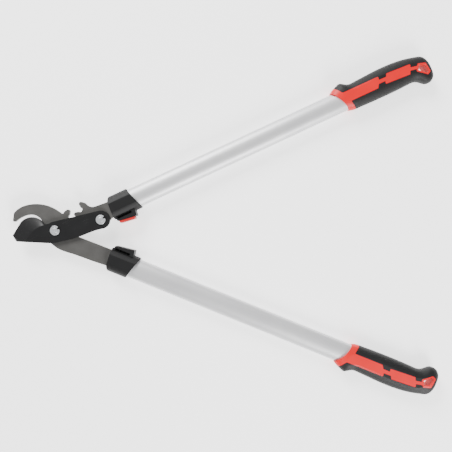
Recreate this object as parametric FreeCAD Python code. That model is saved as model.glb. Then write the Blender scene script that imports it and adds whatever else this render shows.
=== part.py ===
"""Bypass loppers with geared levers and two tubular handles.

The loppers lie flat, thickness along Z, jaws towards -X. A black blade plate carries both pivot
bolts. The hook lever turns on the main bolt and holds the lower handle, the gear lever turns on the
link bolt and holds the upper handle, and the gear teeth between them make both handles close at once.

Frames: the blade plate has its origin at the main pivot and X towards the link pivot. Each lever has
its origin at its own pivot and X along its handle. A handle's pieces have X along the tube from the
collar's front, Y outwards from the tube's axis, away from the other handle.
"""
import FreeCAD, Part
import math
import os

V = FreeCAD.Vector

# Pivots, and the pose at rest (degrees from +X)
pivot_spacing = 75.0
link_angle = 13.3
upper_angle = 25.0
lower_angle = -22.0
closing_swing = 16.5        # turn of the hook lever from rest until the stops meet

# Gear between the two levers
hook_teeth = 12             # teeth of the full circle that each sector is cut from
gear_teeth = 14
gear_module = 2.0 * pivot_spacing / (hook_teeth + gear_teeth)
pressure_angle = 25.0
addendum = 4.5
dedendum = 5.8
backlash = 0.7
mesh_phase = 0.4            # turn of the gear lever's middle tooth past the line of pivots
tooth_rounding = 1.5
tooth_foot = 2.0

# Plates
lever_thickness = 6.0
blade_thickness = 5.0
edge_land = 0.6             # what the grind leaves at the cutting edge
boss_radius = 22.1          # hook lever round the main bolt
link_boss_radius = 12.5     # gear lever round the link bolt
bar_end_radius = 14.5       # link bar round the link bolt

# Bolts, washers and nuts
shank_radius = 4.5
bolt_head_radius = 7.6
bolt_flange = 1.8
bolt_hub_radius = 4.3
bolt_hub_height = 1.1
bolt_groove = 0.7
bolt_dimple_radius = 1.5
key_angle = 30.0            # direction of the keyed notch
key_half_width = 15.0       # half of the notch, in degrees
key_root_radius = 4.9
washer_radius = 8.5
washer_thickness = 1.4
nut_across_flats = 13.0
nut_height = 5.6
bolt_end = 1.0              # thread past the nut
bolt_chamfer = 0.4
pivot_fit = 0.05            # radial play of a bolt in its hole
key_fit = 0.12

# Tubes
tube_width = 34.0
tube_depth = 22.0
tube_wall = 1.6
tube_fit = 0.05             # play round and inside the tube
axis_offset = 9.3           # tube axis outwards of the pivot
upper_reach = 20.0          # from the link pivot to the collar's front, along the handle

# Tangs, inserts and rivets
tang_outer = 12.6           # tang's edges at the collar's front, from the tube axis
tang_inner = 14.1
tang_step = 4.0             # where the tang narrows, behind the collar's front
tang_half_width = 10.5
tang_end = 49.5
slot_fit = 0.1
insert_end = 58.0
rivet_radius = 2.5
rivet_stations = (16.0, 31.0)

# Collars and stops
collar_wall = 2.4
collar_front_wall = 8.0
collar_length = 36.5        # along its outer edge
collar_slant = 17.4         # slope of its rear edge
lay_gap = 3.0               # flat undersides below the tube, collars and grips alike
stop_depth = 25.3           # stop block's face from the tube axis, at the middle of the block
stop_start = 3.8
stop_end = 35.0
stop_half_width = 10.0
pocket_width = 3.7
pocket_web = 3.5            # half of the web left between the two pockets
pad_thickness = 4.0
pad_start = 6.2
pad_end = 31.0
pad_key = 3.0               # rib that holds the pad in its block
pad_key_length = 14.0
stop_gap = 0.15             # between the pad and the lower block when the loppers are closed

# Grips
grip_station = 415.0        # from the collar's front to the peak of the finger guard
grip_tube_end = 100.0       # tube past the guard's peak
grip_skin = 2.2             # soft cover over the core
grip_fullness = 2.3         # 2 is an ellipse across the grip, more is squarer
section_points = 24

upper_swing_ratio = hook_teeth / gear_teeth
handle_angle = upper_angle - lower_angle
closed_angle = handle_angle - closing_swing * (1.0 + upper_swing_ratio)
lower_reach = upper_reach + pivot_spacing
tube_half_width = tube_width / 2.0
tube_half_depth = tube_depth / 2.0
lay_height = tube_half_depth + lay_gap
lever_top = lever_thickness / 2.0
blade_top = lever_top + blade_thickness
collar_half_width = tube_half_width + collar_wall


# ---------------------------------------------------------------- drawing helpers
def polar(radius, degrees):
    """Point at a radius and an angle about the origin."""
    angle = math.radians(degrees)
    return V(radius * math.cos(angle), radius * math.sin(angle), 0)


class Outline:
    """A closed flat outline, drawn stretch by stretch from its first point."""

    def __init__(self, start):
        self.start = V(start)
        self.here = V(start)
        self.edges = []

    def line(self, end):
        """Straight stretch to a point."""
        self.edges.append(Part.LineSegment(self.here, V(end)).toShape())
        self.here = V(end)

    def arc(self, through, end):
        """Round stretch through one point to another."""
        self.edges.append(Part.Arc(self.here, V(through), V(end)).toShape())
        self.here = V(end)

    def curve(self, points):
        """Smooth stretch through the points."""
        smooth = Part.BSplineCurve()
        smooth.interpolate([self.here] + [V(point) for point in points])
        self.edges.append(smooth.toShape())
        self.here = V(points[-1])

    def prism(self, bottom, top):
        """Close the outline and make the solid between two heights."""
        if self.here.distanceToPoint(self.start) > 1e-6:
            self.line(self.start)
        wire = Part.Wire(self.edges)
        wire.translate(V(0, 0, bottom))
        return Part.Face(wire).extrude(V(0, 0, top - bottom))


def rounded_prism(corners, bottom, top):
    """Solid between two heights over a polygon of corners (x, y, radius)."""
    spots = [V(x, y, 0) for x, y, radius in corners]
    stretches = []
    for index, corner in enumerate(corners):
        spot = spots[index]
        back = (spots[index - 1] - spot).normalize()
        ahead = (spots[(index + 1) % len(spots)] - spot).normalize()
        radius = corner[2]
        half = back.getAngle(ahead) / 2.0
        inset = radius / math.tan(half)
        bisector = (back + ahead).normalize()
        middle = spot + bisector * (radius / math.sin(half) - radius)
        stretches.append((spot + back * inset, middle, spot + ahead * inset, radius))
    outline = Outline(stretches[0][2])
    for entry, middle, leaving, radius in stretches[1:] + stretches[:1]:
        outline.line(entry)
        if radius > 0:
            outline.arc(middle, leaving)
    return outline.prism(bottom, top)


def disc(radius, bottom, top):
    """Upright cylinder on the origin."""
    return Part.makeCylinder(radius, top - bottom, V(0, 0, bottom))


def oval_bar(half_width, half_depth, start, end):
    """Bar of elliptical section along X."""
    ellipse = Part.Ellipse(V(start, half_width, 0), V(start, 0, half_depth), V(start, 0, 0))
    return Part.Face(Part.Wire(ellipse.toShape())).extrude(V(end - start, 0, 0))


def turned(shape, degrees):
    """Copy turned about Z through the origin."""
    copy = shape.copy()
    copy.rotate(V(0, 0, 0), V(0, 0, 1), degrees)
    return copy


def moved(shape, x, y, z=0.0):
    """Copy moved by an offset."""
    copy = shape.copy()
    copy.translate(V(x, y, z))
    return copy


# ---------------------------------------------------------------- places
link_pivot = polar(pivot_spacing, link_angle)


def place_gear_lever(shape):
    """From the gear lever's frame to the loppers at rest."""
    return moved(turned(shape, upper_angle), link_pivot.x, link_pivot.y)


def place_hook_lever(shape):
    """From the hook lever's frame to the loppers at rest."""
    return turned(shape, lower_angle)


def on_gear_lever(shape):
    """From a handle's frame to the gear lever's."""
    return moved(shape, upper_reach, axis_offset)


def on_hook_lever(shape):
    """From a handle's frame to the hook lever's, where the handle is mirrored."""
    return moved(shape, lower_reach, axis_offset).mirror(V(0, 0, 0), V(0, 1, 0))


# ---------------------------------------------------------------- gear sectors
def involute(radians):
    """Involute function of an angle."""
    return math.tan(radians) - radians


def tooth_half_at_base(teeth):
    """Half of a tooth at its base circle and below, in degrees."""
    pitch_radius = gear_module * teeth / 2.0
    half_at_pitch = (math.pi * gear_module / 2.0 - backlash) / 2.0 / pitch_radius
    return math.degrees(half_at_pitch + involute(math.radians(pressure_angle)))


def tooth(teeth, centre_angle, plain_back=False):
    """One gear tooth with involute flanks, a rounded tip and a foot flared on both sides or one."""
    pitch_radius = gear_module * teeth / 2.0
    base_radius = pitch_radius * math.cos(math.radians(pressure_angle))
    tip_radius = pitch_radius + addendum
    root_radius = pitch_radius - dedendum
    half_at_base = tooth_half_at_base(teeth)
    corner_share = 1.0 - math.sqrt(0.5)

    def half_width(radius):
        """Half of the tooth at a radius, in degrees."""
        if radius <= base_radius:
            return half_at_base
        return half_at_base - math.degrees(involute(math.acos(base_radius / radius)))

    def rounded(before, corner, after):
        """Middle point of the arc that cuts off a square corner."""
        return corner + (before - corner + after - corner) * corner_share

    foot_turn = math.degrees(tooth_foot / root_radius)
    tip_turn = math.degrees(tooth_rounding / tip_radius)
    flank_radii = [base_radius, pitch_radius, tip_radius - tooth_rounding]
    sides = {}
    for side in (-1.0, 1.0):
        foot_out = polar(root_radius, centre_angle + side * (half_at_base + foot_turn))
        foot_in = polar(root_radius + tooth_foot, centre_angle + side * half_at_base)
        foot_corner = polar(root_radius, centre_angle + side * half_at_base)
        flank = [polar(r, centre_angle + side * half_width(r)) for r in flank_radii]
        tip_corner = polar(tip_radius, centre_angle + side * half_width(tip_radius))
        tip_in = polar(tip_radius, centre_angle + side * (half_width(tip_radius) - tip_turn))
        foot_middle = rounded(foot_out, foot_corner, foot_in)
        tip_middle = rounded(flank[-1], tip_corner, tip_in)
        sides[side] = (foot_out, foot_middle, foot_in, flank, tip_middle, tip_in)
    foot_out, foot_middle, foot_in, flank, tip_middle, tip_in = sides[-1.0]
    if plain_back:
        outline = Outline(polar(root_radius, centre_angle - half_at_base))
        outline.line(foot_in)
    else:
        outline = Outline(foot_out)
        outline.arc(foot_middle, foot_in)
    outline.curve(flank)
    outline.arc(tip_middle, tip_in)
    foot_out, foot_middle, foot_in, flank, tip_middle, tip_in = sides[1.0]
    outline.arc(polar(tip_radius, centre_angle), tip_in)
    outline.arc(tip_middle, flank[-1])
    outline.curve(flank[-2::-1] + [foot_in])
    outline.arc(foot_middle, foot_out)
    outline.line(polar(root_radius - tooth_foot, centre_angle))
    return outline.prism(-lever_top, lever_top)


def hook_root_radius():
    """Root circle of the hook lever's gear sector."""
    return gear_module * hook_teeth / 2.0 - dedendum


def gear_root_radius():
    """Root circle of the gear lever's sector."""
    return gear_module * gear_teeth / 2.0 - dedendum


def hook_tooth_angles():
    """Directions of the hook lever's teeth, in its own frame."""
    gap = link_angle - mesh_phase * gear_teeth / hook_teeth
    pitch = 360.0 / hook_teeth
    return [gap + (count + 0.5) * pitch - lower_angle for count in (-1, 0, 1)]


def gear_tooth_angles():
    """Directions of the gear lever's teeth, in its own frame."""
    middle = link_angle + 180.0 + mesh_phase
    pitch = 360.0 / gear_teeth
    return [middle - count * pitch - upper_angle for count in (0, 1, 2)]


# ---------------------------------------------------------------- head plates
def tang_stem(clearance=0.0):
    """Narrow end of a tang, in the handle's frame, or its slot when there is a clearance."""
    half = tang_half_width + clearance
    height = lever_top + clearance
    stem = Part.makeBox(tang_end + clearance - tang_step, 2 * half, 2 * height)
    return moved(stem, tang_step, -half, -height)


def pivot_hole():
    """Hole for a bolt's shank through every plate."""
    return disc(shank_radius + pivot_fit, -lever_thickness, blade_top + 1.0)


def hook_lever():
    """Hook, gear sector and long tang in one plate."""
    teeth = hook_tooth_angles()
    root = hook_root_radius()
    half_pitch = 180.0 / hook_teeth
    shoulder = lower_reach + tang_step
    outer_edge = -(tang_outer + axis_offset)
    inner_edge = tang_inner - axis_offset
    outline = Outline(V(shoulder, inner_edge, 0))
    outline.line(polar(root, teeth[0] - half_pitch) + V(6.0, 1.4, 0))
    outline.line(polar(root, teeth[0] - half_pitch))
    outline.arc(polar(root, teeth[1]), polar(root, teeth[2] + half_pitch))
    back = [(-12, 30.9), (-22, 31.9), (-38, 30.1), (-55, 22.7), (-67, 12.2), (-72.9, 0.6)]
    outline.curve([V(x, y, 0) for x, y in back])
    outline.line(V(-70.3, -9.2, 0))
    outline.arc(V(-68.0, -12.0, 0), V(-65.3, -10.8, 0))
    jaw = [(-58.3, -0.3), (-50, 6.7), (-38.5, 10.2), (-28, 7.2)]
    outline.curve([V(x, y, 0) for x, y in jaw] + [polar(boss_radius, 177.5)])
    outline.arc(polar(boss_radius, 225), polar(boss_radius, 270))
    heel = [(5.0, -23.6), (12.0, -25.4), (38.0, -25.0), (70.0, -23.6)]
    outline.curve([V(x, y, 0) for x, y in heel] + [V(shoulder, outer_edge, 0)])
    plate = outline.prism(-lever_top, lever_top)
    solids = [tooth(hook_teeth, angle) for angle in teeth] + [on_hook_lever(tang_stem())]
    plate = plate.fuse(solids).removeSplitter()
    return plate.cut(pivot_hole())


def gear_lever():
    """Gear sector and short tang in one plate."""
    teeth = gear_tooth_angles()
    root = gear_root_radius()
    half_pitch = 180.0 / gear_teeth
    shoulder = upper_reach + tang_step
    outer_edge = tang_outer + axis_offset
    inner_edge = axis_offset - tang_inner
    outline = Outline(V(shoulder, outer_edge, 0))
    outline.line(V(upper_reach, outer_edge, 0))
    outline.curve([V(13.0, 22.5, 0), V(3.0, 23.4, 0), V(-4.1, 24.7, 0), V(-9.0, 28.2, 0),
                   polar(root, teeth[2] - tooth_half_at_base(gear_teeth))])
    outline.arc(polar(root, teeth[1]), polar(root, teeth[0] + half_pitch))
    outline.line(polar(link_boss_radius, 232))
    outline.arc(polar(link_boss_radius, 277), polar(link_boss_radius, 322))
    outline.line(V(upper_reach - tang_step, inner_edge, 0))
    outline.line(V(shoulder, inner_edge, 0))
    plate = outline.prism(-lever_top, lever_top)
    solids = [tooth(gear_teeth, angle, angle == teeth[2]) for angle in teeth]
    solids.append(on_gear_lever(tang_stem()))
    plate = plate.fuse(solids).removeSplitter()
    return plate.cut(pivot_hole())


def blade_grind():
    """Steel ground away above the cutting edge, from the shoulder line down to the edge."""
    over = blade_top + 1.0
    slope = (blade_top - lever_top - edge_land) / blade_thickness
    edge = [(-14.2, 14.0), (-37.5, 31.3), (-52.3, 26.3), (-70.2, 7.2)]
    shoulder = [(-14.6, 12.4), (-26.5, 10.6), (-37.0, 5.3), (-53.0, -8.0)]
    sections = []
    for height, points in ((lever_top + edge_land - 0.3 * slope, edge), (blade_top, shoulder)):
        outline = Outline(V(points[0][0], points[0][1], 0))
        outline.arc(V(points[1][0], points[1][1], 0), V(points[2][0], points[2][1], 0))
        outline.line(V(points[3][0], points[3][1], 0))
        outline.line(V(-90, -8, 0))
        outline.line(V(-90, 60, 0))
        outline.line(V(-14, 60, 0))
        outline.line(outline.start)
        wire = Part.Wire(outline.edges)
        wire.translate(V(0, 0, height))
        sections.append(wire)
    roof = sections[-1].copy()
    roof.translate(V(0, 0, over - blade_top))
    return Part.makeLoft(sections + [roof], True, True)


def bolt_key():
    """Wedge that fills the notch of a bolt head."""
    far = bolt_head_radius + 1.2
    outline = Outline(polar(key_root_radius, key_angle - key_half_width))
    outline.line(polar(far, key_angle - key_half_width))
    outline.line(polar(far, key_angle + key_half_width))
    outline.line(polar(key_root_radius, key_angle + key_half_width))
    return outline


def blade():
    """Cutting blade and link bar in one plate, with a key beside each bolt head."""
    spacing = pivot_spacing
    end = bar_end_radius
    outline = Outline(V(-15.0, 14.4, 0))
    outline.arc(V(-37.5, 30.2, 0), V(-51.5, 25.7, 0))
    outline.line(V(-69.2, 8.0, 0))
    outline.line(V(-65.2, -1.2, 0))
    outline.arc(V(-64.0, -2.8, 0), V(-61.8, -3.8, 0))
    outline.line(V(-16.0, -17.0, 0))
    outline.curve([V(-8.0, -18.8, 0), V(2.0, -19.2, 0), V(36.0, -18.2, 0), V(spacing - 20.0, -15.4, 0),
                   V(spacing - 2.0, -end, 0)])
    outline.arc(V(spacing + end, 0, 0), V(spacing, end, 0))
    outline.line(V(-3.0, 14.2, 0))
    outline.arc(V(-9.5, 12.6, 0), V(-15.0, 14.4, 0))
    plate = outline.prism(lever_top, blade_top)
    plate = plate.cut(blade_grind())
    for x in (0.0, spacing):
        key = bolt_key().prism(blade_top - 1.0, blade_top + bolt_flange - 0.2)
        plate = plate.fuse(moved(turned(key, -link_angle), x, 0))
        plate = plate.cut(moved(pivot_hole(), x, 0))
    return turned(plate.removeSplitter(), link_angle)


# ---------------------------------------------------------------- bolts, washers and nuts
def bolt():
    """Pivot bolt: shank, flanged head with a groove, a hub and a keyed notch."""
    head_bottom = blade_top
    head_top = head_bottom + bolt_flange
    head = disc(bolt_head_radius, head_bottom, head_top)
    head_rim = [edge for edge in head.Edges if edge.BoundBox.ZMin > head_top - 0.01]
    head = head.makeChamfer(bolt_chamfer, head_rim)
    groove = disc(bolt_hub_radius + bolt_groove, head_top - bolt_groove, head_top + 1.0)
    hub = disc(bolt_hub_radius, head_bottom, head_top + bolt_hub_height)
    hub_rim = [edge for edge in hub.Edges if edge.BoundBox.ZMin > head_top]
    hub = hub.makeFillet(bolt_hub_height * 0.6, hub_rim)
    dimple = disc(bolt_dimple_radius, head_top, head_top + bolt_hub_height + 1.0)
    shank_bottom = -lever_top - washer_thickness - nut_height - bolt_end
    shank = disc(shank_radius, shank_bottom, head_bottom)
    shank_rim = [edge for edge in shank.Edges if edge.BoundBox.ZMax < shank_bottom + 0.01]
    shank = shank.makeChamfer(bolt_chamfer * 2, shank_rim)
    notch = bolt_key_space()
    return head.cut(groove).cut(notch).fuse([hub.cut(dimple), shank]).removeSplitter()


def bolt_key_space():
    """Notch of a bolt head, with play round the key."""
    turn = math.degrees(key_fit / key_root_radius)
    far = bolt_head_radius + 2.0
    near = key_root_radius - key_fit
    outline = Outline(polar(near, key_angle - key_half_width - turn))
    outline.line(polar(far, key_angle - key_half_width - turn))
    outline.line(polar(far, key_angle + key_half_width + turn))
    outline.line(polar(near, key_angle + key_half_width + turn))
    return outline.prism(blade_top - 1.0, blade_top + bolt_flange + 0.5)


def washer():
    """Flat washer under the nut."""
    top = -lever_top
    ring = disc(washer_radius, top - washer_thickness, top)
    return ring.cut(disc(shank_radius + slot_fit, top - washer_thickness - 1.0, top + 1.0))


def nut():
    """Hexagon nut with its corners turned off."""
    top = -lever_top - washer_thickness
    bottom = top - nut_height
    corner_radius = nut_across_flats / math.sqrt(3.0)
    outline = Outline(polar(corner_radius, 0))
    for count in range(1, 6):
        outline.line(polar(corner_radius, 60.0 * count))
    hexagon = outline.prism(bottom, top)
    turned_down = disc(corner_radius, bottom, top)
    turned_down = turned_down.makeChamfer(corner_radius - nut_across_flats / 2.0, turned_down.Edges[2])
    return hexagon.common(turned_down).cut(disc(shank_radius, bottom - 1.0, top + 1.0))


# ---------------------------------------------------------------- handles
def tube():
    """Oval tube from the collar's front wall into the grip."""
    start = collar_front_wall
    end = grip_station + grip_tube_end
    outside = oval_bar(tube_half_width, tube_half_depth, start, end)
    inside = oval_bar(tube_half_width - tube_wall, tube_half_depth - tube_wall, start - 1.0, end + 1.0)
    return outside.cut(inside).cut(rivet_holes())


def tube_space(start, end):
    """Space that the tube takes in what fits over it."""
    return oval_bar(tube_half_width + tube_fit, tube_half_depth + tube_fit, start, end)


def rivet_holes():
    """Holes for the rivets through the tube, the insert and the tang."""
    pins = [moved(disc(rivet_radius + tube_fit, -tube_depth, tube_depth), x, 0) for x in rivet_stations]
    return Part.makeCompound(pins)


def tang_rivets():
    """Rivets, finished flush with the tube under the collar."""
    outside = oval_bar(tube_half_width, tube_half_depth, 0, collar_front_wall + insert_end)
    pins = [moved(disc(rivet_radius, -tube_depth, tube_depth), x, 0) for x in rivet_stations]
    return Part.makeCompound([pin.common(outside) for pin in pins])


def tang_insert():
    """Plastic plug between the tang and the tube."""
    margin = tube_wall + slot_fit
    plug = oval_bar(tube_half_width - margin, tube_half_depth - margin, collar_front_wall, insert_end)
    return plug.cut(tang_stem(slot_fit)).cut(rivet_holes())


def stop_face(x):
    """Height of a stop block's face below the tube axis, at a place along the handle."""
    middle = (stop_start + stop_end) / 2.0
    return -stop_depth - (x - middle) * math.tan(math.radians(closed_angle / 2.0))


def collar(face):
    """Moulding over the tube's end: a sleeve, and a stop block with the given face."""
    wide = collar_half_width
    rear = collar_length + 2 * wide * math.tan(math.radians(collar_slant))
    side = rounded_prism([(0.0, -wide, 3.0), (2.3, wide - 6.5, 2.0), (5.5, wide, 3.5),
                          (collar_length, wide, 2.5), (rear, -wide, 2.0)], -lay_height, lay_height)
    sleeve = side.common(oval_bar(wide, lay_height + 1.2, -5.0, rear + 5.0))
    inside = -tube_half_width + 1.0
    block = rounded_prism([(stop_start - 1.0, inside, 0.0), (stop_start, face(stop_start), 2.0),
                           (stop_end, face(stop_end), 1.0), (stop_end + 2.0, inside, 0.0)],
                          -stop_half_width, stop_half_width)
    body = sleeve.fuse(block).removeSplitter()
    pocket_top = -tube_half_width + 0.6
    pocket_floor = pocket_top - pocket_width
    near = pad_start - 0.6
    far = pad_end - 0.6
    pocket = rounded_prism([(near, pocket_top, 1.0), (near, pocket_floor, 1.0), (far, pocket_floor, 1.0),
                            (far, pocket_top, 1.0)], pocket_web, lay_height + 1.0)
    body = body.cut([pocket, pocket.mirror(V(0, 0, 0), V(0, 0, 1))])
    body = body.cut(tube_space(collar_front_wall, rear + 5.0))
    return body.cut(tang_mouth())


def tang_mouth():
    """Slot in a collar's front wall that the tang passes through."""
    height = lever_top + slot_fit
    wide = Part.makeBox(tang_step + slot_fit + 5.0, tang_outer + tang_inner + 2 * slot_fit, 2 * height)
    wide = moved(wide, -5.0, -tang_inner - slot_fit, -height)
    return wide.fuse(tang_stem(slot_fit))


def pad_outline(x_start, x_end, near, far, rounding):
    """Pad's outline between two depths below the upper block's face."""
    return [(x_start, stop_face(x_start) - near, 0.0), (x_start, stop_face(x_start) - far, rounding),
            (x_end, stop_face(x_end) - far, rounding), (x_end, stop_face(x_end) - near, 0.0)]


def pad_key_solid(clearance=0.0):
    """Rib of the pad inside its block, or its groove when there is a clearance."""
    middle = (pad_start + pad_end) / 2.0
    half = pad_key_length / 2.0 + clearance
    corners = pad_outline(middle - half, middle + half, -pad_key - clearance, 0.5, 0.0)
    return rounded_prism(corners, -pocket_web - clearance, pocket_web + clearance)


def bumper():
    """Rubber pad on the upper stop block, with the rib that holds it."""
    half = stop_half_width - 0.5
    drop = pad_thickness / math.cos(math.radians(closed_angle / 2.0))
    pad = rounded_prism(pad_outline(pad_start, pad_end, 0.0, drop, 1.4), -half, half)
    return pad.fuse(pad_key_solid()).removeSplitter()


def lower_stop_face():
    """Height of the lower block's face, where the pad lands when the loppers are closed."""
    upper_turn = upper_angle - closing_swing * upper_swing_ratio
    lower_turn = lower_angle + closing_swing
    drop = (pad_thickness + stop_gap) / math.cos(math.radians(closed_angle / 2.0))
    landed = []
    for x in (pad_start, pad_end):
        spot = V(x + upper_reach, stop_face(x) - drop + axis_offset, 0)
        reach = spot.Length
        direction = math.degrees(math.atan2(spot.y, spot.x)) + upper_turn
        world = link_pivot + polar(reach, direction)
        direction = math.degrees(math.atan2(world.y, world.x)) - lower_turn
        own = polar(world.Length, direction)
        landed.append((own.x - lower_reach, -own.y - axis_offset))
    (first_x, first_y), (last_x, last_y) = landed
    slope = (last_y - first_y) / (last_x - first_x)
    return lambda x: first_y + (x - first_x) * slope


# ---------------------------------------------------------------- grips
def grip_section(x, outer, inner, half_depth):
    """Closed rounded section across a grip: outer and inner heights from the tube axis."""
    middle = (outer + inner) / 2.0
    half = (outer - inner) / 2.0
    power = 2.0 / grip_fullness
    points = []
    for count in range(section_points):
        angle = 2.0 * math.pi * count / section_points
        across = math.copysign(abs(math.cos(angle)) ** power, math.cos(angle))
        deep = math.copysign(abs(math.sin(angle)) ** power, math.sin(angle))
        points.append(V(grip_station + x, middle + half * across, half_depth * deep))
    ring = Part.BSplineCurve()
    ring.interpolate(points, PeriodicFlag=True)
    return Part.Wire(ring.toShape())


def grip_body(inset):
    """Whole grip, from the neck to the hooked end, or its core when it is inset."""
    half = tube_half_width
    deep = tube_half_depth + 3.8
    # Along the grip: station, outer edge and inner edge beyond the tube, loss of half depth
    stations = ((-23, 0.6, 0.4, 2.6), (-16, 3.2, 0.5, 2.0), (-8, 7.2, 0.7, 1.2), (0, 10.2, 1.6, 0.5),
                (4, 9.6, 2.8, 0.1), (11, 5.0, 3.6, 0.0), (19, 3.1, 3.8, 0.0), (32, 3.8, 4.2, 0.0),
                (56, 5.0, 4.6, 0.0), (80, 5.3, 4.5, 0.0), (100, 4.0, 3.9, 0.0), (110, 2.6, 3.7, 0.0),
                (117, 1.2, 5.7, 0.0), (124, -0.4, 11.3, 0.2), (131, -2.2, 15.1, 0.8), (137, -4.2, 14.7, 1.9),
                (142, -8.6, 11.6, 4.2), (145, -15.5, 7.8, 7.6))
    wires = []
    for x, outer, inner, loss in stations:
        wires.append(grip_section(x, half + outer - inset, -half - inner + inset, deep - loss - inset))
    return Part.makeLoft(wires, True, False)


def grip_front():
    """What lies before the grip's front edge, a curved slant."""
    far = tube_width * 2
    outline = Outline(V(grip_station - 20.5, 21.0, 0))
    outline.arc(V(grip_station - 8.6, 3.0, 0), V(grip_station - 1.0, -21.0, 0))
    outline.line(V(grip_station - 1.0, -far, 0))
    outline.line(V(grip_station - 60.0, -far, 0))
    outline.line(V(grip_station - 60.0, far, 0))
    outline.line(V(grip_station - 20.5, far, 0))
    return outline.prism(-far, far)


def grip_panels():
    """Neck ring, two panels, the necks between them and the hang-hole ring, right through."""
    station = grip_station
    far = tube_width * 2
    corners = [(-60, far, 0), (-14, far, 0), (-9.0, 21.5, 3.0), (-2.0, 10.2, 4.0), (60.0, 9.8, 2.0),
               (58.6, 4.4, 1.0), (71.0, 4.1, 1.0), (73.2, 8.8, 1.5), (115.0, 6.4, 2.0), (112.0, 1.4, 1.0),
               (122.6, -0.9, 1.0), (125.4, 2.2, 2.0), (138.0, -1.6, 2.0), (140.2, -17.4, 3.0),
               (133.6, -20.4, 3.0), (118.6, -8.8, 1.5), (120.2, -5.2, 0.8), (110.0, -3.4, 1.0),
               (107.6, -8.5, 1.5), (65.4, -5.9, 1.5), (67.6, -1.4, 1.0), (55.8, -1.4, 1.5),
               (52.2, -7.1, 1.5), (5.0, -7.1, 1.5), (9.6, -21.5, 3.0), (13.0, -far, 0), (-60, -far, 0)]
    placed = [(x + station, y, radius) for x, y, radius in corners]
    return rounded_prism(placed, -far, far)


def hang_hole():
    """Five-sided hole through the grip's end."""
    corners = [(125.8, -0.8, 2.0), (135.8, -3.6, 2.0), (137.4, -15.8, 2.0), (133.8, -17.4, 2.5),
               (121.8, -8.2, 1.5)]
    placed = [(x + grip_station, y, radius) for x, y, radius in corners]
    return rounded_prism(placed, -tube_width, tube_width)


def flattened(shape):
    """Grip with the two flats that it lies on."""
    slab = Part.makeBox(400, 200, 2 * lay_height, V(grip_station - 100, -100, -lay_height))
    return shape.common(slab)


def grip_pieces():
    """Core and cover of a grip."""
    whole = flattened(grip_body(0.0)).cut(grip_front())
    tube_room = tube_space(grip_station - 60.0, grip_station + grip_tube_end)
    whole = whole.cut(tube_room).cut(hang_hole())
    inside = grip_body(grip_skin).fuse(grip_panels())
    return whole.common(inside), whole.cut(inside)


# ---------------------------------------------------------------- assembly
def build():
    """Every node by name, at rest, with the main pivot on the Z axis."""
    core, cover = grip_pieces()
    handle = {
        "tang_insert": tang_insert(),
        "tang_rivets": tang_rivets(),
        "tube": tube(),
        "grip_core": core,
        "grip_cover": cover,
    }
    nodes = {"blade": blade()}
    for name, shape in (("bolt", bolt()), ("washer", washer()), ("nut", nut())):
        nodes["main_" + name] = shape
        nodes["link_" + name] = moved(shape, link_pivot.x, link_pivot.y)
    nodes["hook_lever"] = place_hook_lever(hook_lever().cut(on_hook_lever(rivet_holes())))
    nodes["gear_lever"] = place_gear_lever(gear_lever().cut(on_gear_lever(rivet_holes())))
    for name, shape in handle.items():
        nodes["lower_" + name] = place_hook_lever(on_hook_lever(shape))
        nodes["upper_" + name] = place_gear_lever(on_gear_lever(shape))
    nodes["lower_collar"] = place_hook_lever(on_hook_lever(collar(lower_stop_face())))
    upper_collar = collar(stop_face).cut(pad_key_solid(slot_fit))
    nodes["upper_collar"] = place_gear_lever(on_gear_lever(upper_collar))
    nodes["upper_bumper"] = place_gear_lever(on_gear_lever(bumper()))
    return nodes


def export(nodes):
    """Write each node, with the origin under the middle of the loppers, on their resting plane."""
    os.makedirs("parts", exist_ok=True)
    box = FreeCAD.BoundBox()
    for shape in nodes.values():
        box.add(shape.optimalBoundingBox(False, False))
    shift = V(-box.Center.x, -box.Center.y, -box.ZMin)
    for name, shape in nodes.items():
        placed = moved(shape, shift.x, shift.y, shift.z)
        placed.exportStep("parts/%s.step" % name)
        print(name, len(placed.Solids), placed.isValid(), round(placed.Volume, 1))
    print("size", round(box.XLength, 3), round(box.YLength, 3), round(box.ZLength, 3))
    print("main pivot", shift)
    print("link pivot", shift + link_pivot)


export(build())
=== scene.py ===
"""Bypass loppers: surfaces, finishes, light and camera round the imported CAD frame."""
import logging
import math
from dataclasses import dataclass
from enum import Enum

import bmesh
import bpy
from mathutils import Matrix, Vector


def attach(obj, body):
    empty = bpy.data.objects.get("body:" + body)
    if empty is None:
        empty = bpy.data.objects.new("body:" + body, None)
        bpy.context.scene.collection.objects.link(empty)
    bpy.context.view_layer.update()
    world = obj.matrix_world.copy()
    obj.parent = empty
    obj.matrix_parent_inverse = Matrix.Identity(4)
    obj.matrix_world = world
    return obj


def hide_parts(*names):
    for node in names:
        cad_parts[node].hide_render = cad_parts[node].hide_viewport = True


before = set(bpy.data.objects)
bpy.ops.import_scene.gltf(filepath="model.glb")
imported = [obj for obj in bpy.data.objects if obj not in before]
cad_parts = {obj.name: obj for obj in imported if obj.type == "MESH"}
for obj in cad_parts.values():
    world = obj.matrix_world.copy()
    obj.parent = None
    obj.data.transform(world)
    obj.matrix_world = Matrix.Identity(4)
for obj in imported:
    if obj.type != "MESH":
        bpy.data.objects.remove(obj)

LOG = logging.getLogger("loppers")
MILLIMETRE = 0.001
WHITE = (1.0, 1.0, 1.0, 1.0)

UPPER_ANGLE = math.radians(25.0)
LOWER_ANGLE = math.radians(-22.0)
LINK_ANGLE = math.radians(13.3)
# The two pivots and the middle of the thickness, in millimetres
MAIN_PIVOT = (-271.964, -8.058)
LINK_PIVOT = (-198.975, 9.195)
MIDDLE_HEIGHT = 14.0
# From each pivot along its tube to the collar's front
LOWER_REACH = 95.0
UPPER_REACH = 20.0

# CAD corners closer than this are one, and faces that turn less than this are one, in millimetres and degrees
SHARED_CORNER = 0.002
FLAT_TURN = 0.4
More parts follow.
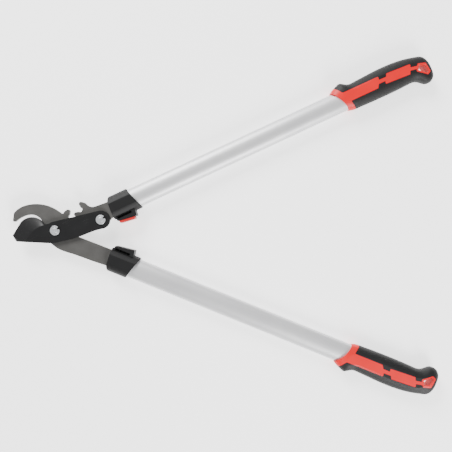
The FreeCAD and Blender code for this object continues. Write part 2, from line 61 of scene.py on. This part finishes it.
# Noise values below the first are all dark, and above the second all light
NOISE_RANGE = {"From Min": 0.3, "From Max": 0.7}
PATCH_NOISE = {"Scale": 1.0, "Detail": 4.0, "Roughness": 0.55}
GRAIN_NOISE = {"Scale": 1.0, "Detail": 3.0, "Roughness": 0.6}
SCRATCH_NOISE = {"Scale": 1.0, "Detail": 2.0}
BUMP_STRENGTH = 0.6
# Scratches lie a little across the piece, and are long and thin: radians and millimetres
SCRATCH_TURN = 0.2
SCRATCH_LENGTH = 30.0
SCRATCH_WIDTH = 0.22
# Noise values between which a scratch begins and is whole
SCRATCH_RANGE = {"From Min": 0.7, "From Max": 0.76}
SCRATCH_COLOUR = "#8c8c8c"
SCRATCH_ROUGHNESS = 0.25


class Body(Enum):
    """Rigid bodies of the loppers."""

    HEAD = "head"
    LOWER = "lower_handle"
    UPPER = "upper_handle"


class Slot(Enum):
    """Material slots of the record."""

    COATED_STEEL = "coated_steel"
    LEVER_STEEL = "lever_steel"
    PLATED_STEEL = "plated_steel"
    TUBE = "tube_aluminium"
    BLACK_PLASTIC = "black_plastic"
    RED_PLASTIC = "red_plastic"
    BLACK_RUBBER = "black_rubber"
    RED_RUBBER = "red_rubber"


# ------------------------------------------------------------------ node helpers
def linear_colour(hex_value: str) -> tuple[float, float, float, float]:
    """Turn an sRGB hex colour into a linear one.

    Args:
        hex_value: colour as "#rrggbb".

    Returns:
        Linear red, green, blue and an alpha of one.
    """
    channels = [int(hex_value[place:place + 2], 16) / 255.0 for place in (1, 3, 5)]
    linear = [c / 12.92 if c <= 0.04045 else ((c + 0.055) / 1.055) ** 2.4 for c in channels]
    return linear[0], linear[1], linear[2], 1.0


def add_node(tree: bpy.types.NodeTree, kind: str, settings: dict | None = None,
             values: dict | None = None, links: dict | None = None) -> bpy.types.Node:
    """Add a node with its settings, socket values and incoming links.

    Args:
        tree: node tree that gets the node.
        kind: Blender's type name of the node.
        settings: attributes of the node.
        values: default values by input name or index.
        links: source sockets by input name or index.

    Returns:
        The new node.
    """
    node = tree.nodes.new(kind)
    for name, value in (settings or {}).items():
        setattr(node, name, value)
    for name, value in (values or {}).items():
        node.inputs[name].default_value = value
    for name, socket in (links or {}).items():
        tree.links.new(socket, node.inputs[name])
    return node


@dataclass(frozen=True)
class Finish:
    """A surface finish, with its pattern sizes in millimetres.

    Two colours are mottled together over patches. A fine grain moves the roughness and the bump. When
    the grain's length and width differ it runs along the piece, as brushing and grinding do.
    """

    name: str
    light: str
    dark: str
    metallic: float
    roughness: tuple[float, float]
    patch: float
    grain_length: float
    grain_width: float
    grain_depth: float
    ior: float = 1.5
    sheen: float = 0.0
    scratches: float = 0.0

    def along(self, tree: bpy.types.NodeTree, place: bpy.types.NodeSocket, turn: float, length: float,
              width: float) -> bpy.types.NodeSocket:
        """Coordinates measured in grains, along and across the piece.

        Args:
            tree: the material's node tree.
            place: socket of the object coordinates.
            turn: direction of the piece about Z, in radians.
            length: length of one grain in millimetres.
            width: width of one grain in millimetres.

        Returns:
            Socket of the scaled coordinates.
        """
        scale = (length * MILLIMETRE, width * MILLIMETRE, width * MILLIMETRE)
        mapping = add_node(tree, "ShaderNodeMapping", {"vector_type": "TEXTURE"},
                           {"Rotation": (0.0, 0.0, turn), "Scale": scale}, {"Vector": place})
        return mapping.outputs["Vector"]

    def material(self, turn: float = 0.0) -> bpy.types.Material:
        """Build the finish for a piece that lies in a direction.

        Args:
            turn: direction of the piece about Z, in radians.

        Returns:
            The material.
        """
        suffix = "_%d" % round(math.degrees(turn)) if turn else ""
        material = bpy.data.materials.new(self.name + suffix)
        material.use_nodes = True
        tree = material.node_tree
        tree.nodes.clear()
        place = add_node(tree, "ShaderNodeTexCoord").outputs["Object"]
        patches = add_node(tree, "ShaderNodeTexNoise", None, PATCH_NOISE,
                           {"Vector": self.along(tree, place, turn, self.patch, self.patch)})
        grain = add_node(tree, "ShaderNodeTexNoise", None, GRAIN_NOISE,
                         {"Vector": self.along(tree, place, turn, self.grain_length, self.grain_width)})
        spread = add_node(tree, "ShaderNodeMapRange", None, NOISE_RANGE, {"Value": patches.outputs["Fac"]})
        colour = add_node(tree, "ShaderNodeMix", {"data_type": "RGBA"},
                          {6: linear_colour(self.dark), 7: linear_colour(self.light)},
                          {0: spread.outputs["Result"]}).outputs[2]
        glossy, matt = self.roughness
        gloss = add_node(tree, "ShaderNodeMapRange", None, NOISE_RANGE | {"To Min": glossy, "To Max": matt},
                         {"Value": grain.outputs["Fac"]}).outputs["Result"]
        if self.scratches > 0.0:
            colour, gloss = self.scratched(tree, place, turn, colour, gloss)
        bump = add_node(tree, "ShaderNodeBump", None,
                        {"Strength": BUMP_STRENGTH, "Distance": self.grain_depth * MILLIMETRE},
                        {"Height": grain.outputs["Fac"]})
        shader = add_node(tree, "ShaderNodeBsdfPrincipled", None,
                          {"Metallic": self.metallic, "IOR": self.ior, "Sheen Weight": self.sheen},
                          {"Base Color": colour, "Roughness": gloss, "Normal": bump.outputs["Normal"]})
        add_node(tree, "ShaderNodeOutputMaterial", None, None, {"Surface": shader.outputs["BSDF"]})
        return material

    def scratched(self, tree: bpy.types.NodeTree, place: bpy.types.NodeSocket, turn: float,
                  colour: bpy.types.NodeSocket, gloss: bpy.types.NodeSocket
                  ) -> tuple[bpy.types.NodeSocket, bpy.types.NodeSocket]:
        """Add fine scratches from use, lighter and glossier than the surface.

        Args:
            tree: the material's node tree.
            place: socket of the object coordinates.
            turn: direction of the scratches about Z, in radians.
            colour: socket of the colour so far.
            gloss: socket of the roughness so far.

        Returns:
            Sockets of the colour and the roughness with scratches.
        """
        along = self.along(tree, place, turn + SCRATCH_TURN, SCRATCH_LENGTH, SCRATCH_WIDTH)
        lines = add_node(tree, "ShaderNodeTexNoise", None, SCRATCH_NOISE, {"Vector": along})
        mask = add_node(tree, "ShaderNodeMapRange", None, SCRATCH_RANGE | {"To Max": self.scratches},
                        {"Value": lines.outputs["Fac"]}).outputs["Result"]
        worn = add_node(tree, "ShaderNodeMix", {"data_type": "RGBA"}, {7: linear_colour(SCRATCH_COLOUR)},
                        {0: mask, 6: colour}).outputs[2]
        smoother = add_node(tree, "ShaderNodeMix", {"data_type": "FLOAT"}, {3: SCRATCH_ROUGHNESS},
                            {0: mask, 2: gloss}).outputs[0]
        return worn, smoother


# Carbon steel with a baked non-stick coating: dark and even, with a soft satin gloss.
COATED = Finish("coated_carbon_steel", "#141415", "#0f0f10", 0.0, (0.4, 0.52), 22.0, 0.5, 0.5, 0.02,
                ior=1.4, scratches=0.35)
# Hardened steel, fine ground: mid grey and dull, with faint grinding lines along the lever.
GROUND = Finish("ground_tempered_steel", "#666563", "#5e5d5b", 0.7, (0.44, 0.56), 18.0, 6.0, 0.5, 0.02,
                scratches=0.2)
# Steel plated with bright zinc: nearly white, glossy, with a faint blue cast.
ZINC = Finish("bright_zinc_plate", "#f2f4f6", "#e4e7ea", 0.85, (0.32, 0.44), 3.0, 0.6, 0.6, 0.01)
# Drawn aluminium with a satin anodised skin: pale silver, drawn lines along the tube.
ANODISED = Finish("satin_anodised_aluminium", "#dededf", "#d4d4d6", 0.5, (0.42, 0.5), 60.0, 40.0, 0.6, 0.008)
# Glass-filled nylon with a spark-eroded mould texture: black, matt, slightly grey where it faces the light.
NYLON = Finish("black_glass_filled_nylon", "#0e0e0f", "#0b0b0c", 0.0, (0.5, 0.62), 16.0, 0.7, 0.7, 0.04,
               ior=1.4)
# Polypropylene moulding: saturated warm red with a low satin gloss.
POLYPROPYLENE = Finish("red_polypropylene", "#e8000c", "#da000a", 0.0, (0.4, 0.5), 30.0, 0.9, 0.9, 0.02,
                       ior=1.42)
# Thermoplastic elastomer overmould: soft black with a fine leathery grain.
ELASTOMER = Finish("black_elastomer_overmould", "#101011", "#0c0c0d", 0.0, (0.52, 0.66), 24.0, 1.1, 1.1, 0.05,
                   ior=1.42, sheen=0.02)
# Moulded nitrile rubber: deep red, matt, slightly dusty.
NITRILE = Finish("red_nitrile_rubber", "#c80a0a", "#b40808", 0.0, (0.55, 0.68), 8.0, 0.8, 0.8, 0.05,
                 sheen=0.1)


# ------------------------------------------------------------------ mesh helpers
def joined_copy(node: str) -> bmesh.types.BMesh:
    """Copy a CAD node into a mesh with shared corners and whole flat faces.

    Args:
        node: name of the CAD node.

    Returns:
        A mesh that the caller frees.
    """
    mesh = bmesh.new()
    mesh.from_mesh(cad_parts[node].data)
    bmesh.ops.remove_doubles(mesh, verts=mesh.verts, dist=SHARED_CORNER * MILLIMETRE)
    bmesh.ops.dissolve_limit(mesh, angle_limit=math.radians(FLAT_TURN), verts=mesh.verts, edges=mesh.edges)
    return mesh


def mark_sharp(mesh: bmesh.types.BMesh, sharp: float, flat_turn: float = 4.0,
               flat_area: float = 30.0) -> None:
    """Keep an edge sharp where it turns far, or where it borders a broad flat face.

    Args:
        mesh: the mesh to mark.
        sharp: least turn of a sharp edge between small faces, in degrees.
        flat_turn: least turn of a sharp edge beside a broad face, in degrees.
        flat_area: least area of a broad face, in square millimetres.
    """
    broad = flat_area * MILLIMETRE ** 2
    for edge in mesh.edges:
        turn = math.degrees(edge.calc_face_angle(0.0))
        beside_flat = any(face.calc_area() > broad for face in edge.link_faces)
        edge.smooth = turn < (flat_turn if beside_flat else sharp)


def add_piece(name: str, mesh: bmesh.types.BMesh, material: bpy.types.Material,
              sharp: float) -> bpy.types.Object:
    """Turn a mesh into a piece with smooth faces and sharp corners.

    Args:
        name: name of the piece.
        mesh: the mesh, which is freed.
        material: the piece's material.
        sharp: angle in degrees from which an edge stays sharp.

    Returns:
        The piece, at the origin.
    """
    mark_sharp(mesh, sharp)
    for face in mesh.faces:
        face.smooth = True
    data = bpy.data.meshes.new(name)
    mesh.to_mesh(data)
    mesh.free()
    data.materials.clear()
    data.materials.append(material)
    piece = bpy.data.objects.new(name, data)
    bpy.context.scene.collection.objects.link(piece)
    return piece


def rounded_piece(name: str, node: str, material: bpy.types.Material, width: float, segments: int = 2,
                  angle: float = 40.0) -> bpy.types.Object:
    """Copy a CAD node with its sharp edges rounded.

    Args:
        name: name of the piece.
        node: the CAD node that it stands for.
        material: the piece's material.
        width: size of the rounding in millimetres.
        segments: faces across the rounding.
        angle: least angle of an edge that is rounded, in degrees.

    Returns:
        The piece, which still needs a body.
    """
    piece = add_piece(name, joined_copy(node), material, angle)
    bevel = piece.modifiers.new("edge_rounding", "BEVEL")
    bevel.width = width * MILLIMETRE
    bevel.segments = segments
    bevel.limit_method = "ANGLE"
    bevel.angle_limit = math.radians(angle)
    bevel.harden_normals = True
    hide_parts(node)
    return piece


def dress(node: str, material: bpy.types.Material) -> None:
    """Give a CAD node its finish.

    Args:
        node: name of the CAD node.
        material: the finish.
    """
    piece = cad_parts[node]
    piece.data.materials.clear()
    piece.data.materials.append(material)


def settle(piece: bpy.types.Object, body: Body) -> None:
    """Tie a piece to its body, and report it.

    Args:
        piece: the piece.
        body: the rigid body that it rides on.
    """
    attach(piece, body.value)
    LOG.info("%s rides on %s", piece.name, body.value)


@dataclass(frozen=True)
class PocketRibs:
    """Moulded ribs across both pockets of a stop block, in the handle's frame, in millimetres."""

    count: int = 3
    first: tuple[float, float, float] = (11.8, -18.25, 5.2)
    step: float = 6.2
    size: tuple[float, float, float] = (0.9, 3.8, 3.6)

    def tree(self) -> bpy.types.NodeTree:
        """Build the node group that sets the ribs in two rows, one in each pocket.

        Returns:
            The group, with an input for each size.
        """
        group = bpy.data.node_groups.new("pocket_ribs", "GeometryNodeTree")
        kinds = {"Count": "Int", "First Rib": "Vector", "Step": "Vector", "Rib Size": "Vector",
                 "Other Pocket": "Vector", "Material": "Material"}
        for name, kind in kinds.items():
            group.interface.new_socket(name, in_out="INPUT", socket_type="NodeSocket" + kind)
        group.interface.new_socket("Geometry", in_out="OUTPUT", socket_type="NodeSocketGeometry")
        inputs = add_node(group, "NodeGroupInput").outputs
        row = add_node(group, "GeometryNodeMeshLine", {"mode": "OFFSET"}, None,
                       {"Count": inputs["Count"], "Start Location": inputs["First Rib"],
                        "Offset": inputs["Step"]})
        rib = add_node(group, "GeometryNodeMeshCube", None, None, {"Size": inputs["Rib Size"]})
        ribs = add_node(group, "GeometryNodeInstanceOnPoints", None, None,
                        {"Points": row.outputs["Mesh"], "Instance": rib.outputs["Mesh"]})
        others = add_node(group, "GeometryNodeTransform", None, None,
                          {"Geometry": ribs.outputs["Instances"], "Translation": inputs["Other Pocket"]})
        both = add_node(group, "GeometryNodeJoinGeometry", None, None,
                        {"Geometry": ribs.outputs["Instances"]})
        group.links.new(others.outputs["Geometry"], both.inputs["Geometry"])
        real = add_node(group, "GeometryNodeRealizeInstances", None, None,
                        {"Geometry": both.outputs["Geometry"]})
        painted = add_node(group, "GeometryNodeSetMaterial", None, None,
                           {"Geometry": real.outputs["Geometry"], "Material": inputs["Material"]})
        add_node(group, "NodeGroupOutput", None, None, {"Geometry": painted.outputs["Geometry"]})
        return group

    def build(self, name: str, place: Matrix, material: bpy.types.Material) -> bpy.types.Object:
        """Make the ribs of one block as a plain mesh.

        Args:
            name: name of the piece.
            place: the handle's frame in the loppers' frame.
            material: the ribs' material.

        Returns:
            The piece, at the origin.
        """
        piece = bpy.data.objects.new(name, bpy.data.meshes.new(name))
        bpy.context.scene.collection.objects.link(piece)
        modifier = piece.modifiers.new("ribs", "NODES")
        modifier.node_group = self.tree()
        items = modifier.node_group.interface.items_tree
        sockets = {item.name: item.identifier for item in items if item.in_out == "INPUT"}
        first = Vector(self.first) * MILLIMETRE
        settings = {"Count": self.count, "First Rib": first, "Step": (self.step * MILLIMETRE, 0.0, 0.0),
                    "Rib Size": Vector(self.size) * MILLIMETRE, "Other Pocket": (0.0, 0.0, -2.0 * first.z),
                    "Material": material}
        for socket, value in settings.items():
            modifier[sockets[socket]] = value
        ready = piece.evaluated_get(bpy.context.evaluated_depsgraph_get())
        mesh = bpy.data.meshes.new_from_object(ready)
        piece.modifiers.clear()
        mesh.transform(place)
        if place.determinant() < 0.0:
            mesh.flip_normals()
        piece.data = mesh
        return piece


# ------------------------------------------------------------------ sub-assemblies
@dataclass
class Head:
    """Blade plate, the two pivot bolts and their washers and nuts."""

    plate_rounding: float = 0.35
    bolt_rounding: float = 0.25
    fasteners: tuple[str, ...] = ("bolt", "washer", "nut")

    def build(self) -> None:
        """Make and dress the head's pieces."""
        blade = rounded_piece("blade_plate", "blade", COATED.material(LINK_ANGLE), self.plate_rounding)
        settle(blade, Body.HEAD)
        zinc = ZINC.material()
        for pivot in ("main", "link"):
            for fastener in self.fasteners:
                node = "%s_%s" % (pivot, fastener)
                piece = rounded_piece(node + "_plated", node, zinc, self.bolt_rounding)
                settle(piece, Body.HEAD)


@dataclass
class Handle:
    """One lever with its tube, collar and grip."""

    side: str
    body: Body
    lever: str
    turn: float
    pivot: tuple[float, float]
    reach: float
    outwards: float
    plate_rounding: float = 0.4
    axis_offset: float = 9.3
    collar_rounding: float = 0.5
    grip_rounding: float = 0.3

    def frame(self) -> Matrix:
        """Frame of the handle: X along the tube from the collar's front, Y outwards, at mid-height.

        Returns:
            Matrix from the handle's frame to the loppers' frame, in metres.
        """
        start = Vector((self.reach, self.outwards * self.axis_offset, 0.0)) * MILLIMETRE
        pivot = Vector((self.pivot[0], self.pivot[1], MIDDLE_HEIGHT)) * MILLIMETRE
        turn = Matrix.Rotation(self.turn, 4, "Z")
        sides = Matrix.Diagonal((1.0, self.outwards, 1.0, 1.0))
        return Matrix.Translation(pivot) @ turn @ Matrix.Translation(start) @ sides

    def build(self) -> None:
        """Make and dress the handle's pieces."""
        lever = rounded_piece(self.lever + "_plate", self.lever, GROUND.material(self.turn),
                              self.plate_rounding)
        settle(lever, self.body)
        collar = rounded_piece(self.side + "_collar_moulding", self.side + "_collar",
                               NYLON.material(self.turn), self.collar_rounding)
        settle(collar, self.body)
        ribs = PocketRibs().build(self.side + "_collar_ribs", self.frame(), NYLON.material(self.turn))
        settle(ribs, self.body)
        dress(self.side + "_tube", ANODISED.material(self.turn))
        dress(self.side + "_tang_insert", NYLON.material(self.turn))
        dress(self.side + "_tang_rivets", ZINC.material())
        self.build_grip()

    def build_grip(self) -> None:
        """Make the grip's core and its soft cover."""
        core = rounded_piece(self.side + "_grip_core_moulding", self.side + "_grip_core",
                             POLYPROPYLENE.material(self.turn), self.grip_rounding)
        settle(core, self.body)
        cover = rounded_piece(self.side + "_grip_overmould", self.side + "_grip_cover",
                              ELASTOMER.material(self.turn), self.grip_rounding)
        settle(cover, self.body)


@dataclass
class Bumper:
    """Rubber pad on the upper collar's stop block."""

    rounding: float = 0.5

    def build(self) -> None:
        """Make the pad."""
        pad = rounded_piece("upper_bumper_pad", "upper_bumper", NITRILE.material(UPPER_ANGLE), self.rounding)
        settle(pad, Body.UPPER)


@dataclass
class Studio:
    """Floor, light and camera, in metres and watts."""

    distance: float = 0.9
    view_width: float = 0.7232
    sensor: float = 36.0
    middle: tuple[float, float, float] = (0.0006, -0.0009, 0.018)
    floor_size: float = 6.0
    floor_glow: float = 1.6
    floor_gap: float = 0.0003
    floor_colour: str = "#fafafa"
    floor_roughness: float = 0.9
    lamp_size: float = 1.2
    key_place: tuple[float, float, float] = (-1.1, 2.1, 1.5)
    key_power: float = 120.0
    fill_place: tuple[float, float, float] = (1.0, -2.1, 1.5)
    fill_power: float = 105.0
    sky_strength: float = 0.45
    clip_end: float = 50.0

    def floor(self) -> None:
        """Lay a pale plain floor."""
        mesh = bmesh.new()
        bmesh.ops.create_grid(mesh, x_segments=1, y_segments=1, size=self.floor_size / 2.0)
        data = bpy.data.meshes.new("floor")
        mesh.to_mesh(data)
        mesh.free()
        data.transform(Matrix.Translation((0.0, 0.0, -self.floor_gap)))
        piece = bpy.data.objects.new("floor", data)
        bpy.context.scene.collection.objects.link(piece)
        material = bpy.data.materials.new("pale_paper")
        material.use_nodes = True
        shader = material.node_tree.nodes["Principled BSDF"]
        shader.inputs["Base Color"].default_value = linear_colour(self.floor_colour)
        shader.inputs["Roughness"].default_value = self.floor_roughness
        shader.inputs["Emission Color"].default_value = WHITE
        shader.inputs["Emission Strength"].default_value = self.floor_glow
        data.materials.append(material)

    def lamp(self, name: str, place: tuple[float, float, float], power: float) -> None:
        """Hang a square soft light that points at the loppers.

        Args:
            name: name of the light.
            place: its place, in metres.
            power: its power, in watts.
        """
        data = bpy.data.lights.new(name, "AREA")
        data.shape = "SQUARE"
        data.size = self.lamp_size
        data.energy = power
        lamp = bpy.data.objects.new(name, data)
        lamp.location = place
        lamp.rotation_euler = (-Vector(place)).to_track_quat("-Z", "Y").to_euler()
        bpy.context.scene.collection.objects.link(lamp)

    def camera(self) -> None:
        """Look straight down on the loppers."""
        data = bpy.data.cameras.new("camera")
        data.sensor_width = self.sensor
        data.lens = self.sensor * self.distance / self.view_width
        data.clip_end = self.clip_end
        camera = bpy.data.objects.new("camera", data)
        camera.location = (self.middle[0], self.middle[1], self.middle[2] + self.distance)
        bpy.context.scene.collection.objects.link(camera)
        bpy.context.scene.camera = camera

    def build(self) -> None:
        """Make the floor, the lights and the camera."""
        self.floor()
        self.lamp("key", self.key_place, self.key_power)
        self.lamp("fill", self.fill_place, self.fill_power)
        world = bpy.data.worlds.new("studio")
        world.use_nodes = True
        background = world.node_tree.nodes["Background"]
        background.inputs["Color"].default_value = WHITE
        background.inputs["Strength"].default_value = self.sky_strength
        bpy.context.scene.world = world
        self.camera()


def main() -> None:
    """Build every piece in order."""
    logging.basicConfig(level=logging.INFO, format="%(name)s: %(message)s")
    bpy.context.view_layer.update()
    Head().build()
    Handle("lower", Body.LOWER, "hook_lever", LOWER_ANGLE, MAIN_PIVOT, LOWER_REACH, -1.0).build()
    Handle("upper", Body.UPPER, "gear_lever", UPPER_ANGLE, LINK_PIVOT, UPPER_REACH, 1.0).build()
    Bumper().build()
    Studio().build()


if __name__ == "__main__":
    main()
